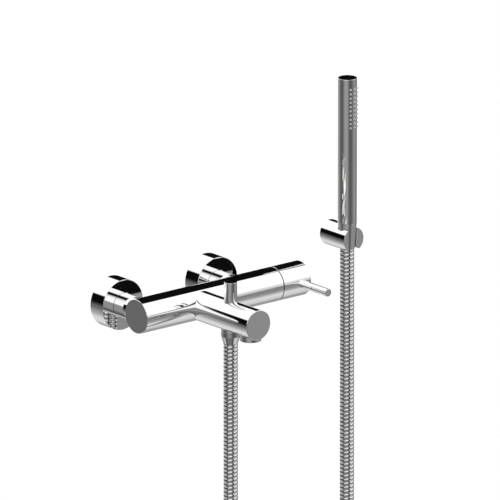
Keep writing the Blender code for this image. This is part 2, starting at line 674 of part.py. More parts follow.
def make_hand_shower():
    """Everything that turns with the hand shower on the hose's swivel."""
    place = (HOLDER_X, SHOWER_Y, 0)
    cone = [(0.0096, CONE_TOP), (CONE_TOP_R, CONE_TOP), (CONE_BOTTOM_R, CONE_BOTTOM), (0.0064, CONE_BOTTOM),
            (0.0064, 0.0262), (0.0096, 0.0262)]
    cone = turned("hose_cone_nut", cone, place, UP, "chrome", SMALL)
    washer = turned("hose_washer_shower", ring_outline(0.0092, 0.0050, 0.0285, 0.0302), place, UP, "rubber")
    inlet = turned("hand_shower_inlet", ring_outline(0.0093, 0.0061, 0.0305, 0.0560), place, UP, "brass")
    limiter = turned("flow_limiter", ring_outline(0.0058, 0.0020, 0.0330, 0.0400), place, UP, "grey_plastic")

    bottom = CONE_TOP + GAP
    rim = SHOWER_TOP - 0.0025
    tube = [(0.0103, rim), (SHOWER_R, rim), (SHOWER_R, bottom), (0.0096, bottom), (0.0096, 0.0600),
            (0.0103, 0.0600)]
    tube = turned("hand_shower_tube", tube, place, UP, "chrome", LARGE)
    cut(tube, nozzle_rods("nozzle_holes", NOZZLE_HOLE_R, NOZZLE_HOLE_R, 0.0090, 0.0130))

    liner = turned("hand_shower_liner", ring_outline(0.0093, 0.0079, 0.0620, 0.2180), place, UP, "plastic")
    opening = spray_sector("liner_window", 0.0110, 0.0070, LINER_HALF_ANGLE, STRIP_MARGIN / 2)
    window = add_cutter("liner_window", opening)
    window.location = place
    cut(liner, window)
    cap = [(0, SHOWER_TOP), (SHOWER_R - 0.0005, SHOWER_TOP), (SHOWER_R, SHOWER_TOP - 0.0005),
           (SHOWER_R, rim + GAP), (0.0100, rim + GAP), (0.0100, rim - 0.0040), (0, rim - 0.0040)]
    cap = turned("hand_shower_cap", cap, place, UP, "chrome", LARGE)
    return cone, washer, inlet, limiter, tube, liner, cap, make_nozzle_strip()


# ---------------------------------------------------------------- wall holder


def make_holder():
    """Slotted holder, the bracket it hides, and the two screws that fix them."""
    place = (HOLDER_X, 0, HOLDER_Z)
    shell = [(0, HOLDER_LENGTH), (HOLDER_R - 0.0003, HOLDER_LENGTH), (HOLDER_R, HOLDER_LENGTH - 0.0003),
             (HOLDER_R, 0), (0.0126, 0), (0.0126, 0.0140), (0, 0.0140)]
    holder = turned("holder_body", shell, place, OUT, "chrome", LARGE)
    slope = (CONE_TOP_R - CONE_BOTTOM_R) / (CONE_TOP - CONE_BOTTOM)
    clearance = 0.00035
    reach = 0.0170
    low_r = CONE_BOTTOM_R + slope * (HOLDER_Z - reach - CONE_BOTTOM) + clearance
    high_r = CONE_BOTTOM_R + slope * (HOLDER_Z + reach - CONE_BOTTOM) + clearance
    seat = [(0, reach), (high_r, reach), (low_r, -reach), (0, -reach)]
    cut(holder,
        turned_tool("cone_seat", seat, (HOLDER_X, SHOWER_Y, HOLDER_Z), UP, SMALL),
        box_tool("hose_slot", (SLOT_WIDTH, 0.0200, 0.0400), (HOLDER_X, SHOWER_Y - 0.0100, HOLDER_Z)),
        rod_tool("holder_grub_hole", 0.0023, 0.0110, 0.0180, (HOLDER_X, -0.0060, HOLDER_Z), DOWN, FINE))

    bracket = [(0.0029, 0.0100), (0.0120, 0.0100), (0.0123, 0.0097), (0.0123, 0.0), (0.0029, 0.0)]
    turned("holder_bracket", bracket, place, OUT, "steel", SMALL)
    screw = [(0, 0.0130), (0.0040, 0.0130), (0.0048, 0.0118), (0.0048, 0.0103), (0.0023, 0.0103),
             (0.0023, -0.0120), (0, -0.0150)]
    screw = turned("holder_screw", screw, place, OUT, "steel")
    centre = (HOLDER_X, -0.0127, HOLDER_Z)
    cut(screw,
        box_tool("screw_recess_wide", (0.0050, 0.0020, 0.0011), centre),
        box_tool("screw_recess_tall", (0.0011, 0.0021, 0.0050), centre))
    grub_place = (HOLDER_X, -0.0060, HOLDER_Z)
    grub = turned("holder_grub_screw", rod_outline(0.0020, 0.0127, 0.0154), grub_place, DOWN, "steel", FINE)
    cut(grub, hex_tool("holder_grub_socket", 0.0011, 0.0140, 0.0160, grub_place, DOWN))


# ---------------------------------------------------------------- assembly


def make_fixed_parts():
    make_body_casting()
    make_end_caps()
    make_water_tubes()
    for side, x in (("left", -INLET_PITCH / 2), ("right", INLET_PITCH / 2)):
        make_wall_connection(side, x)
    make_fixed_cartridge()
    make_aerator()
    make_hose_outlet()
    make_hose()
    make_holder()


def make_moving_parts():
    """Each group of moving parts hangs on an empty that lies on its joint's axis."""
    pivot = (PIVOT_X, BARREL_Y, 0)
    temperature = add_joint("handle_turn_axis", pivot, *make_turning_cartridge())
    add_joint("flow_disc_slide_axis", pivot, make_flow_disc(), parent=temperature)
    add_joint("handle_lift_axis", pivot, *make_handle(), parent=temperature)
    add_joint("diverter_pull_axis", (0, DIVERTER_Y, SPOUT_Z), *make_diverter())
    shower_axis = (HOLDER_X, SHOWER_Y, HOLDER_Z)
    lift = add_joint("hand_shower_lift_axis", shower_axis, make_hose_end())
    add_joint("hand_shower_turn_axis", shower_axis, *make_hand_shower(), parent=lift)


clear_scene()
PARTS = new_collection("bath_mixer")
CUTTERS = new_collection("cutters")
make_materials()
make_fixed_parts()
make_moving_parts()
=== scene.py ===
"""Looks of a wall mounted bath mixer: polished chrome, a ribbed metal hose and silicone nozzles.

Metres, +Z up. The wall is the plane Y = 0 and the mixer stands out from it towards -Y. Places and
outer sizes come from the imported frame.
"""

import json
import math

import bmesh
import bpy
import numpy as np
from mathutils import Matrix, Quaternion, Vector

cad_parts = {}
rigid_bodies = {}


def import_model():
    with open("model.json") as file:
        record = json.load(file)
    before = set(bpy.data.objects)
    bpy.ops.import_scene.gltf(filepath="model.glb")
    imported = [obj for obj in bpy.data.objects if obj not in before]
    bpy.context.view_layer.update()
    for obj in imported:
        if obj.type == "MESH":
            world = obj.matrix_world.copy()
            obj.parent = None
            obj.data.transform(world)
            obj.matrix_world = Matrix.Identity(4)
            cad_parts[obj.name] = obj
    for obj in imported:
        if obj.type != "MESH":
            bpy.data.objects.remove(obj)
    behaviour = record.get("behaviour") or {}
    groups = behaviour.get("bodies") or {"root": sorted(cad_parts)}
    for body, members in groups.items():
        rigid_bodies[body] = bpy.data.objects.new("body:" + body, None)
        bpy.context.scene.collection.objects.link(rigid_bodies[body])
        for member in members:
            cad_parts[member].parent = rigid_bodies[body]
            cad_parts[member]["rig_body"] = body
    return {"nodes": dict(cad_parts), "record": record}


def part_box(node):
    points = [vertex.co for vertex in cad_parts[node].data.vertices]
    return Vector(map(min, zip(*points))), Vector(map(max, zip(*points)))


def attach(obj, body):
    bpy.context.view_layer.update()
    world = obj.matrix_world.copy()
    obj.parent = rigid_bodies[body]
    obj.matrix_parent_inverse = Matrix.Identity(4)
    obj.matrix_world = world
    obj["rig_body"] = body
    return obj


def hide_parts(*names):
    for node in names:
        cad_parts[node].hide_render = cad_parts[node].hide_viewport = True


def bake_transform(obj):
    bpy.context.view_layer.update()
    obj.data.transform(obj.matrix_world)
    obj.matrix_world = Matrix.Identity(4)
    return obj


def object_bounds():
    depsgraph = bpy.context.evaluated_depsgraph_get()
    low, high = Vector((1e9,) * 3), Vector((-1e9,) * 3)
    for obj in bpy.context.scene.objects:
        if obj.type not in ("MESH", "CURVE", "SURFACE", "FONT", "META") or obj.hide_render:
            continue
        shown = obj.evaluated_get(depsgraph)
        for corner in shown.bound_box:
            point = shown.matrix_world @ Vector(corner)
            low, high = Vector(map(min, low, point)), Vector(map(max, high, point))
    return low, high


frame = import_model()
cad_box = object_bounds()


def low(node):
    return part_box(node)[0]


def high(node):
    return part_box(node)[1]


def middle(node):
    return (low(node) + high(node)) / 2


def half(node):
    return (high(node) - low(node)) / 2


LEFT, RIGHT = Vector((-1, 0, 0)), Vector((1, 0, 0))
OUT, UP, DOWN = Vector((0, -1, 0)), Vector((0, 0, 1)), Vector((0, 0, -1))

# Segments round large and small turned surfaces, and steps in a rounded edge.
LARGE, SMALL, FINE = 160, 96, 32
EDGE_STEPS = 5
# How close to a turned surface a face lies when it takes that surface's direction.
FIT = 0.00003
# Gaps between pieces: one that shows, one that is only a hairline, and one that can't be seen.
GAP, SEAM, TOUCH = 0.0003, 0.00002, 0.000002
EDGE, END_EDGE = 0.0004, 0.0008

# Barrel and handle.
BARREL_Y, BARREL_R = middle("handle_sleeve").y, half("handle_sleeve").z
BARREL_LEFT = low("left_end_cap").x
HANDLE_LEFT, HANDLE_RIGHT = low("handle_sleeve").x, high("handle_sleeve").x
BARREL_RIGHT = HANDLE_LEFT - 0.0012
END_SEAT_R = half("left_end_cap").z + GAP
CARTRIDGE_BORE_R, WEB_RIGHT = 0.0185, 0.0935
PIVOT_X = middle("stem_pivot_pin").x
MAX_LIFT = math.radians(16)
LEVER_X, LEVER_R = middle("handle_lever").x, half("handle_lever").x

# Spout.
SPOUT_Z, SPOUT_END = middle("spout_end_cap").z, -low("spout_end_cap").y
SPOUT_R = 0.0190
SPOUT_SEAT_R, SPOUT_SEAT_DEPTH = half("spout_end_cap").x + GAP, 2 * half("spout_end_cap").y + GAP
DIVERTER_Y = middle("diverter_knob").y
KNOB_R, KNOB_BOTTOM, KNOB_TOP = half("diverter_knob").x, low("diverter_knob").z, high("diverter_knob").z
AERATOR_Y, AERATOR_BOSS_R, AERATOR_BOTTOM = middle("aerator_housing").y, 0.0132, -0.0238
HOSE_BOSS_R, HOSE_BOSS_BOTTOM = half("hose_nut").x, -0.0215

# Wall connections.
INLETS = {side: middle(f"escutcheon_{side}").x for side in ("left", "right")}
UNION_R, BOSS_START, NIPPLE_END, INLET_BORE_R = half("union_nut_left").x, 0.0400, 0.0326, 0.0075
UNION_HEAD_R, SHEET = 0.0131, 0.0015
TAIL_R, TAIL_ROOT_R, TAIL_PITCH = 0.0103, 0.0092, 0.001814
TAIL_Z = low("s_union_left").z + TAIL_R
# The boss and its union nut are turned alike, so that their facets meet.
INLET_ROLL = 0.015

# Holder and hand shower.
HOLDER_X, HOLDER_Z = middle("holder_body").x, middle("holder_body").z
HOLDER_R, HOLDER_LENGTH = half("holder_body").x, -low("holder_body").y
SHOWER_Y, SHOWER_R = middle("hand_shower_cap").y, half("hand_shower_cap").x
SHOWER_TOP, CAP_SEAM = high("hand_shower_cap").z, high("hand_shower_tube").z
CONE_BOTTOM, CONE_TOP = low("hose_cone_nut").z, high("hose_cone_nut").z
CONE_BOTTOM_R, CONE_TOP_R = 0.0095, half("hose_cone_nut").x
SLOT_WIDTH = 0.0176
NOZZLE_ROWS, NOZZLE_PITCH, NOZZLE_TOP = 10, 0.00545, 0.2140
NOZZLE_HOLE_R, NOZZLE_BASE_R, NOZZLE_TIP_R = 0.0016, 0.00135, 0.0010
SPRAY_AZIMUTH = math.radians(-80)
NOZZLE_ANGLES = tuple(math.radians(a) for a in (-30, 0, 30))

# Hose, half of its hang as (distance along the span, height), with the other half mirrored.
HOSE_R, HOSE_LENGTH = 0.0083, 1.5
RIB_PITCH = 0.0050
HOSE_START, HOSE_FINISH = -0.0363, 0.0077
HOSE_HANG = (
    (0.000, -0.075), (0.000, -0.130), (0.000, -0.190), (0.000, -0.250), (0.000, -0.310),
    (0.001, -0.370), (0.003, -0.430), (0.007, -0.492), (0.018, -0.554), (0.038, -0.610),
    (0.068, -0.658), (0.106, -0.689),
)
HOSE_LOWEST = -0.7005

# Camera: a very long lens, so that parallel edges stay parallel.
AZIMUTH, ELEVATION = math.radians(-39.69), math.radians(16.67)
LENS, SENSOR, VIEW_WIDTH = 1500.0, 36.0, 0.6133
AIM_RIGHT, AIM_UP = 0.1130, 0.0480

BODY_OF = {node: body for body, nodes in frame["record"]["behaviour"]["bodies"].items() for node in nodes}


# ---------------------------------------------------------------- camera, studio and floor


def make_camera():
    """The product view, from the front left and a little above."""
    back = Vector((math.sin(AZIMUTH) * math.cos(ELEVATION), -math.cos(AZIMUTH) * math.cos(ELEVATION),
                   math.sin(ELEVATION)))
    turn = (-back).to_track_quat("-Z", "Y")
    aim = turn @ Vector((AIM_RIGHT, AIM_UP, 0))
    camera = bpy.data.objects.new("camera", bpy.data.cameras.new("camera"))
    bpy.context.scene.collection.objects.link(camera)
    camera.data.lens = LENS
    camera.data.sensor_width = SENSOR
    camera.data.clip_end = 100.0
    camera.rotation_mode = "QUATERNION"
    camera.rotation_quaternion = turn
    camera.location = aim + back * (VIEW_WIDTH * LENS / SENSOR)
    bpy.context.scene.camera = camera


def plug(tree, value, socket):
    """Links a node's output to a socket, or sets the socket to a number."""
    if isinstance(value, bpy.types.NodeSocket):
        tree.links.new(value, socket)
    else:
        socket.default_value = value


def maths(tree, operation, *values):
    node = tree.nodes.new("ShaderNodeMath")
    node.operation = operation
    for value, socket in zip(values, node.inputs):
        plug(tree, value, socket)
    return node.outputs[0]


def step_between(tree, value, start, finish):
    """0 before start and 1 past finish, with a smooth step between; start may be the larger one."""
    node = tree.nodes.new("ShaderNodeMapRange")
    node.interpolation_type = "SMOOTHSTEP"
    low_end, high_end = min(start, finish), max(start, finish)
    rising = start < finish
    for value_in, socket in zip((value, low_end, high_end, 0.0 if rising else 1.0, 1.0 if rising else 0.0),
                                node.inputs):
        plug(tree, value_in, socket)
    return node.outputs[0]


def blend_values(tree, share, first, second):
    node = tree.nodes.new("ShaderNodeMix")
    node.data_type = "FLOAT"
    plug(tree, share, node.inputs[0])
    plug(tree, first, node.inputs[2])
    plug(tree, second, node.inputs[3])
    return node.outputs[0]


class Studio:
    """Brightness all round the object: a white tent with black flags and a grey table."""

    def __init__(self, tree):
        self.tree = tree
        direction = tree.nodes.new("ShaderNodeTexCoord").outputs["Generated"]
        axes = tree.nodes.new("ShaderNodeSeparateXYZ")
        tree.links.new(direction, axes.inputs[0])
        x, y, z = axes.outputs
        self.elevation = maths(tree, "MULTIPLY", maths(tree, "ARCSINE", z), math.degrees(1))
        self.x, self.y = x, y
        self.level = None

    def heights(self, *stops):
        """The brightness from straight down to straight up, as (elevation, brightness)."""
        ramp = self.tree.nodes.new("ShaderNodeValToRGB")
        plug(self.tree, step_line(self.tree, self.elevation), ramp.inputs[0])
        spots = ramp.color_ramp.elements
        while len(spots) < len(stops):
            spots.new(0.5)
        for spot, (elevation, level) in zip(spots, stops):
            spot.position = (elevation + 90) / 180
            spot.color = (level, level, level, 1)
        self.level = ramp.outputs[0]

    def panel(self, azimuth, width, heights, level, soft=8.0, soft_height=6.0):
        """Paints a brightness in a patch round an azimuth, between two heights, all in degrees."""
        tree = self.tree
        away = math.radians(azimuth)
        turned_x = maths(tree, "ADD", maths(tree, "MULTIPLY", self.x, math.cos(away)),
                         maths(tree, "MULTIPLY", self.y, math.sin(away)))
        turned_y = maths(tree, "SUBTRACT", maths(tree, "MULTIPLY", self.y, math.cos(away)),
                         maths(tree, "MULTIPLY", self.x, math.sin(away)))
        offset = maths(tree, "MULTIPLY", maths(tree, "ABSOLUTE", maths(tree, "ARCTAN2", turned_y, turned_x)),
                       math.degrees(1))
        bottom, top = heights
        inside = step_between(tree, offset, width / 2 + soft / 2, width / 2 - soft / 2)
        above = step_between(tree, self.elevation, bottom - soft_height / 2, bottom + soft_height / 2)
        below = step_between(tree, self.elevation, top + soft_height / 2, top - soft_height / 2)
        share = maths(tree, "MULTIPLY", inside, maths(tree, "MULTIPLY", above, below))
        self.level = blend_values(tree, share, self.level, level)


def step_line(tree, elevation):
    """Elevation in degrees as a share of the way from straight down to straight up."""
    return maths(tree, "DIVIDE", maths(tree, "ADD", elevation, 90.0), 180.0)


def make_world():
    """The studio that the chrome mirrors, and plain soft light for everything else."""
    world = bpy.data.worlds.new("studio")
    bpy.context.scene.world = world
    world.use_nodes = True
    tree = world.node_tree
    tree.nodes.clear()
    studio = Studio(tree)
    studio.heights((-90, 0.30), (-60, 0.52), (-45, 0.75), (-41, 0.73), (-38, 0.64), (-34, 0.46), (-25, 0.285),
                   (-16, 0.115), (-5, 0.047), (0, 0.02), (3, 0.40), (9, 1.15), (90, 1.15))
    # The table in front and at the right: the undersides.
    studio.panel(213, 110, (-90, -28), 0.20, soft=30, soft_height=16)
    studio.panel(38, 60, (-56, -24), 0.34, soft=30, soft_height=10)
    # Grey bands round the horizon: upright cylinders and the barrel's lower half.
    studio.panel(88, 58, (-23, -10), 0.42, soft=64, soft_height=8)
    studio.panel(215, 56, (-34, 5), 0.33, soft=50, soft_height=12)
    studio.panel(331, 54, (-24, 3), 0.285, soft=46, soft_height=10)
    studio.panel(309, 60, (-4, 8), 0.75, soft=30, soft_height=14)
    # Dark uprights on both sides: the two dark lines down the hand shower and the hose.
    studio.panel(162, 30, (-90, 60), 0.10, soft=26)
    studio.panel(266, 30, (-90, 60), 0.10, soft=26)
    studio.panel(161, 22, (-6, 70), 0.004, soft=6, soft_height=8)
    studio.panel(269, 22, (-6, 70), 0.004, soft=6, soft_height=8)
    # Black flags: the stripe on the left of each escutcheon, and the stripes along the tops.
    studio.panel(133, 56, (-2, 22), 0.003, soft=20, soft_height=4)
    studio.panel(33.5, 47, (-17, 75), 0.004, soft=3, soft_height=8)
    # Small cards that only the flat end discs of the barrel and the spout mirror.
    studio.panel(129.7, 3, (-19.5, -14), 0.127, soft=5, soft_height=3)
    studio.panel(309.7, 3, (-19.5, -14), 0.271, soft=5, soft_height=3)

    rays = tree.nodes.new("ShaderNodeLightPath")
    plain = blend_values(tree, rays.outputs["Is Diffuse Ray"], 1.02, 1.16)
    mirrored = blend_values(tree, rays.outputs["Is Glossy Ray"], plain, studio.level)
    background = tree.nodes.new("ShaderNodeBackground")
    plug(tree, mirrored, background.inputs["Strength"])
    output = tree.nodes.new("ShaderNodeOutputWorld")
    tree.links.new(background.outputs[0], output.inputs["Surface"])
    background.inputs["Color"].default_value = (1, 1, 1, 1)


def make_floor():
    """A wide pale floor below the hose. The chrome mirrors the studio's table instead of it."""
    mesh = bpy.data.meshes.new("floor")
    shape = bmesh.new()
    bmesh.ops.create_circle(shape, cap_ends=True, segments=64, radius=60.0)
    shape.to_mesh(mesh)
    shape.free()
    floor = bpy.data.objects.new("floor", mesh)
    floor.location.z = cad_box[0].z - 0.09
    bpy.context.scene.collection.objects.link(floor)
    floor.visible_glossy = False
    paint = bpy.data.materials.new("floor_paint")
    paint.use_nodes = True
    tree = paint.node_tree
    surface = tree.nodes["Principled BSDF"]
    surface.inputs["Roughness"].default_value = 0.9
    noise = tree.nodes.new("ShaderNodeTexNoise")
    noise.inputs["Scale"].default_value = 2.0
    ramp = tree.nodes.new("ShaderNodeValToRGB")
    ramp.color_ramp.elements[0].color = (0.905, 0.905, 0.905, 1)
    ramp.color_ramp.elements[1].color = (0.92, 0.92, 0.92, 1)
    tree.links.new(noise.outputs["Fac"], ramp.inputs[0])
    tree.links.new(ramp.outputs[0], surface.inputs["Base Color"])
    mesh.materials.append(paint)


# ---------------------------------------------------------------- materials


MATERIALS = {}


def finish(slot, colour, metallic, roughness, grain, roughness_spread, bump=0.0, stretch=(1, 1, 1),
           shade=0.06, clearcoat=0.0, subsurface=0.0):
    """A finish with a fine grain: its colour, roughness and height all vary with one noise."""
    material = bpy.data.materials.new(slot)
    material.use_nodes = True
    tree = material.node_tree
    surface = tree.nodes["Principled BSDF"]
    surface.inputs["Metallic"].default_value = metallic
    surface.inputs["Coat Weight"].default_value = clearcoat
    surface.inputs["Subsurface Weight"].default_value = subsurface
    surface.inputs["Subsurface Scale"].default_value = 0.002
    place = tree.nodes.new("ShaderNodeMapping")
    place.inputs["Scale"].default_value = stretch
    tree.links.new(tree.nodes.new("ShaderNodeTexCoord").outputs["Object"], place.inputs["Vector"])
    noise = tree.nodes.new("ShaderNodeTexNoise")
    noise.inputs["Scale"].default_value = grain
    noise.inputs["Detail"].default_value = 3.0
    tree.links.new(place.outputs[0], noise.inputs["Vector"])
    tint = tree.nodes.new("ShaderNodeValToRGB")
    tint.color_ramp.elements[0].position = 0.3
    tint.color_ramp.elements[1].position = 0.7
    tint.color_ramp.elements[0].color = (*(c * (1 - shade) for c in colour), 1)
    tint.color_ramp.elements[1].color = (*colour, 1)
    tree.links.new(noise.outputs["Fac"], tint.inputs[0])
    tree.links.new(tint.outputs[0], surface.inputs["Base Color"])
    rough = step_between(tree, noise.outputs["Fac"], 0.3, 0.7)
    rough = maths(tree, "MULTIPLY_ADD", rough, roughness_spread, roughness)
    tree.links.new(rough, surface.inputs["Roughness"])
    if bump:
        relief = tree.nodes.new("ShaderNodeBump")
        relief.inputs["Strength"].default_value = 1.0
        relief.inputs["Distance"].default_value = bump
        tree.links.new(noise.outputs["Fac"], relief.inputs["Height"])
        tree.links.new(relief.outputs[0], surface.inputs["Normal"])
    MATERIALS[slot] = material


def make_materials():
    finish("chrome", (0.93, 0.93, 0.935), 1.0, 0.012, 900.0, 0.02, shade=0.012)
    finish("hose_chrome", (0.76, 0.76, 0.765), 1.0, 0.06, 900.0, 0.04, shade=0.03)
    finish("brass", (0.72, 0.54, 0.25), 1.0, 0.24, 700.0, 0.16, bump=0.00001, stretch=(1, 6, 1))
    finish("steel", (0.56, 0.57, 0.58), 1.0, 0.22, 900.0, 0.14, bump=0.00001, stretch=(1, 8, 1))
    finish("rubber", (0.03, 0.03, 0.03), 0.0, 0.62, 1500.0, 0.2, bump=0.00002, shade=0.25)
    finish("silicone", (0.50, 0.50, 0.51), 0.0, 0.32, 1600.0, 0.14, bump=0.00001, subsurface=0.15)
    finish("plastic", (0.78, 0.78, 0.76), 0.0, 0.34, 1200.0, 0.14, bump=0.00001)
    finish("grey_plastic", (0.35, 0.36, 0.37), 0.0, 0.38, 1200.0, 0.16, bump=0.00001, shade=0.1)
    finish("ceramic", (0.88, 0.87, 0.84), 0.0, 0.12, 800.0, 0.08, clearcoat=0.3)


# ---------------------------------------------------------------- modelling helpers


class Solid:
    """A closed mesh in the row frame, with the turned surfaces that its faces lie on."""

    def __init__(self, mesh, surfaces=()):
        self.mesh = mesh
        self.surfaces = list(surfaces)


def rounded(outline):
    """Points of an outline of (radius, height, edge size) corners, with each corner's edge rounded.

    A point is (place, outward direction of the stretch before it, the same for the stretch after it).
    """
    corners = [(Vector(corner[:2]), corner[2] if len(corner) > 2 else 0.0) for corner in outline]
    closed = outline[0][0] > 0
    points = []
    for number, (corner, edge) in enumerate(corners):
        before = corners[number - 1][0] if closed or number > 0 else None
        after = corners[(number + 1) % len(corners)][0] if closed or number + 1 < len(corners) else None
        arrive = outward(before, corner) if before is not None else outward(corner, after)
        leave = outward(corner, after) if after is not None else arrive
        if edge == 0 or before is None or after is None:
            points.append((corner, arrive, leave))
            continue
        turn = arrive.angle_signed(leave)
        reach = edge * math.tan(abs(turn) / 2)
        start = corner + (before - corner).normalized() * reach
        side = 1 if turn > 0 else -1
        centre = start - arrive * edge * side
        for step in range(EDGE_STEPS + 1):
            facing = rotated(arrive, -turn * step / EDGE_STEPS)
            points.append((centre + facing * edge * side, facing, facing))
    return points


def outward(start, finish):
    along = (finish - start).normalized()
    return Vector((-along.y, along.x))


def rotated(direction, angle):
    cosine, sine = math.cos(angle), math.sin(angle)
    return Vector((direction.x * cosine - direction.y * sine, direction.x * sine + direction.y * cosine))


def turned(outline, place, towards, steps=SMALL, roll=0.0):
    """A turned solid. The outline runs down its outer side and back up its inner side."""
    points = rounded(outline)
    closed = outline[0][0] > 0
    shape = bmesh.new()
    row = [shape.verts.new((spot.x, 0, spot.y)) for spot, _, _ in points]
    pairs = list(zip(row, row[1:])) + ([(row[-1], row[0])] if closed else [])
    edges = [shape.edges.new(pair) for pair in pairs]
    bmesh.ops.spin(shape, geom=row + edges, cent=(0, 0, 0), axis=(0, 0, 1), angle=math.tau, steps=steps,
                   use_merge=True)
    bmesh.ops.remove_doubles(shape, verts=shape.verts, dist=0.0000005)
    bmesh.ops.recalc_face_normals(shape, faces=shape.faces)
    turn = towards.to_track_quat("Z", "Y") @ Quaternion((0, 0, 1), roll)
    matrix = Matrix.Translation(place) @ turn.to_matrix().to_4x4()
    mesh = bpy.data.meshes.new("turned")
    shape.to_mesh(mesh)
    shape.free()
    mesh.transform(matrix)
    follows = points[1:] + (points[:1] if closed else [])
    pieces = [(start[0], finish[0], start[2], finish[1]) for start, finish in zip(points, follows)]
    return Solid(mesh, [(matrix, pieces)])


def rod(radius, low_end, high_end, place, towards, steps=FINE):
    """A plain rod between two heights, to cut or to join with."""
    outline = [(0, high_end), (radius, high_end), (radius, low_end), (0, low_end)]
    return turned(outline, place, towards, steps, roll=math.radians(1.3))


def ring(outer, inner, low_end, high_end, edge=0.0):
    return [(inner, high_end, edge), (outer, high_end, edge), (outer, low_end, edge), (inner, low_end, edge)]


def block(size, centre, turn_z=0.0):
    mesh = bpy.data.meshes.new("block")
    shape = bmesh.new()
    matrix = Matrix.Translation(centre) @ Matrix.Rotation(turn_z, 4, "Z") @ Matrix.Diagonal((*size, 1.0))
    bmesh.ops.create_cube(shape, size=1.0, matrix=matrix)
    shape.to_mesh(mesh)
    shape.free()
    return Solid(mesh)


def combine(solid, operation, tools):
    """Joins or cuts a solid with all its tools in one step."""
    group = bpy.data.collections.new("tools")
    for tool in tools:
        group.objects.link(bpy.data.objects.new("tool", tool.mesh))
    held = bpy.data.objects.new("held", solid.mesh)
    bpy.context.scene.collection.objects.link(held)
    boolean = held.modifiers.new("combine", "BOOLEAN")
    boolean.operation = operation
    boolean.solver = "EXACT"
    boolean.operand_type = "COLLECTION"
    boolean.collection = group
    result = bpy.data.meshes.new_from_object(held.evaluated_get(bpy.context.evaluated_depsgraph_get()))
    for item in [held, *group.objects]:
        bpy.data.objects.remove(item)
    bpy.data.collections.remove(group)
    surfaces = solid.surfaces + [surface for tool in tools for surface in tool.surfaces]
    return Solid(result, surfaces)


def cut(solid, *tools):
    return combine(solid, "DIFFERENCE", tools)


def join(solid, *tools):
    return combine(solid, "UNION", tools)


def polish(solid):
    """Gives each face corner the true direction of the turned surface that it lies on.

    Mirror finishes show every false bend of a faceted surface, and this leaves none.
    """
    mesh = solid.mesh
    corners, faces = len(mesh.loops), len(mesh.polygons)
    places = np.zeros(len(mesh.vertices) * 3)
    mesh.vertices.foreach_get("co", places)
    vertex = np.zeros(corners, int)
    mesh.loops.foreach_get("vertex_index", vertex)
    places = places.reshape(-1, 3)[vertex]
    starts, counts = np.zeros(faces, int), np.zeros(faces, int)
    mesh.polygons.foreach_get("loop_start", starts)
    mesh.polygons.foreach_get("loop_total", counts)
    face_normals = np.zeros(faces * 3)
    mesh.polygons.foreach_get("normal", face_normals)
    face_of = np.repeat(np.arange(faces), counts)
    flat = face_normals.reshape(-1, 3)[face_of]
    normals, closest = flat.copy(), np.full(faces, FIT)
    for matrix, pieces in solid.surfaces:
        turn = np.array(matrix.to_3x3())
        local = (places - np.array(matrix.translation)) @ turn
        radius = np.hypot(local[:, 0], local[:, 1])
        across = local[:, :2] / np.maximum(radius, 1e-9)[:, None]
        spots = np.stack([radius, local[:, 2]], 1)
        for start, finish_point, leave, arrive in pieces:
            start, along = np.array(start), np.array(finish_point - start)
            if along @ along < 1e-14:
                continue
            share = np.clip((spots - start) @ along / (along @ along), 0, 1)[:, None]
            miss = np.linalg.norm(spots - start - share * along, axis=1)
            facing = np.array(leave) * (1 - share) + np.array(arrive) * share
            facing /= np.linalg.norm(facing, axis=1)[:, None]
            found = np.concatenate([across * facing[:, :1], facing[:, 1:]], 1) @ turn.T
            agree = (found * flat).sum(1)
            worst = np.maximum.reduceat(miss, starts)
            mean = np.add.reduceat(agree, starts) / counts
            better = (worst < closest) & (np.abs(mean) > 0.8)
            closest = np.where(better, worst, closest)
            chosen = better[face_of]
            normals[chosen] = (found * np.sign(mean)[face_of][:, None])[chosen]
    mesh.polygons.foreach_set("use_smooth", np.ones(faces, bool))
    mesh.normals_split_custom_set(normals.tolist())


def show(name, solid, slot, *nodes, coat=None):
    """A finished piece that stands for CAD nodes of one body and moves with it.

    Its finish is the slot's, or a variant of it when there is a coat.
    """
    if solid.surfaces:
        polish(solid)
    solid.mesh.name = name
    solid.mesh.materials.clear()
    solid.mesh.materials.append(MATERIALS[coat or slot])
    piece = bpy.data.objects.new(name, solid.mesh)
    bpy.context.scene.collection.objects.link(piece)
    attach(piece, BODY_OF[nodes[0]])
    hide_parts(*nodes)
    return piece


def smooth_route(points, count):
    """Evenly spaced points on a smooth curve through a row of points."""
    fine = []
    ends = [2 * points[0] - points[1], *points, 2 * points[-1] - points[-2]]
    for before, start, finish_point, after in zip(ends, ends[1:], ends[2:], ends[3:]):
        for step in range(20):
            t = step / 20
            fine.append(0.5 * (2 * start + (finish_point - before) * t
                               + (2 * before - 5 * start + 4 * finish_point - after) * t ** 2
                               + (3 * start - before - 3 * finish_point + after) * t ** 3))
    fine.append(points[-1])
    fine = np.array(fine)
    travelled = np.concatenate([[0], np.cumsum(np.linalg.norm(np.diff(fine, axis=0), axis=1))])
    wanted = np.linspace(0, travelled[-1], count)
    return np.stack([np.interp(wanted, travelled, fine[:, axis]) for axis in range(3)], 1)


